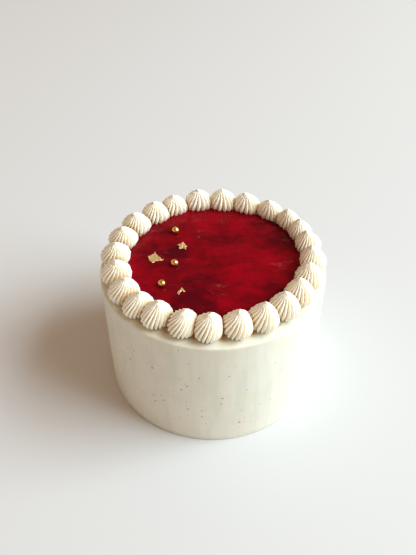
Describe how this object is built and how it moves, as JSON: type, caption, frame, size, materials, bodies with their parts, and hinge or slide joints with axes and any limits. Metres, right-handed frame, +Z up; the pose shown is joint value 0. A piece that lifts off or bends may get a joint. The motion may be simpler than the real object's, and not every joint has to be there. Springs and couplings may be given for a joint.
{
  "type": "buttercream cake",
  "caption": "Round iced cake with smooth sides, a ring of ridged piped dollops on its rim, a shallow pool of red jam inside them, and sugar pearls and gold leaf on the jam.",
  "frame": {"origin": "middle of the flat underside of the iced cake", "axes": "+Z up along the axis of the round side, -Y towards the side that faces the viewer in the picture, +X to that viewer's right"},
  "size_m": [0.16, 0.16, 0.1188],
  "materials": {
    "icing": "smooth vanilla buttercream, satin and slightly uneven from the scraper, with a few dark vanilla seeds",
    "piping": "piped vanilla buttercream, ivory, soft and satin, deep creamy tan between its ridges",
    "jam": "wet dark red berry jam, glossy and slightly see-through, with darker lumps and brighter streaks",
    "pearl": "pale gold sugar pearl with a soft pearly shine",
    "gold_leaf": "crinkled scrap of pale gold leaf"
  },
  "bodies": {
    "root": {"cake": "icing", "jam": "jam", "dollop_01": "piping", "dollop_02": "piping", "dollop_03": "piping", "dollop_04": "piping", "dollop_05": "piping", "dollop_06": "piping", "dollop_07": "piping", "dollop_08": "piping", "dollop_09": "piping", "dollop_10": "piping", "dollop_11": "piping", "dollop_12": "piping", "dollop_13": "piping", "dollop_14": "piping", "dollop_15": "piping", "dollop_16": "piping", "dollop_17": "piping", "dollop_18": "piping", "dollop_19": "piping", "dollop_20": "piping", "dollop_21": "piping", "dollop_22": "piping", "dollop_23": "piping", "dollop_24": "piping"}
  },
  "joints": []
}
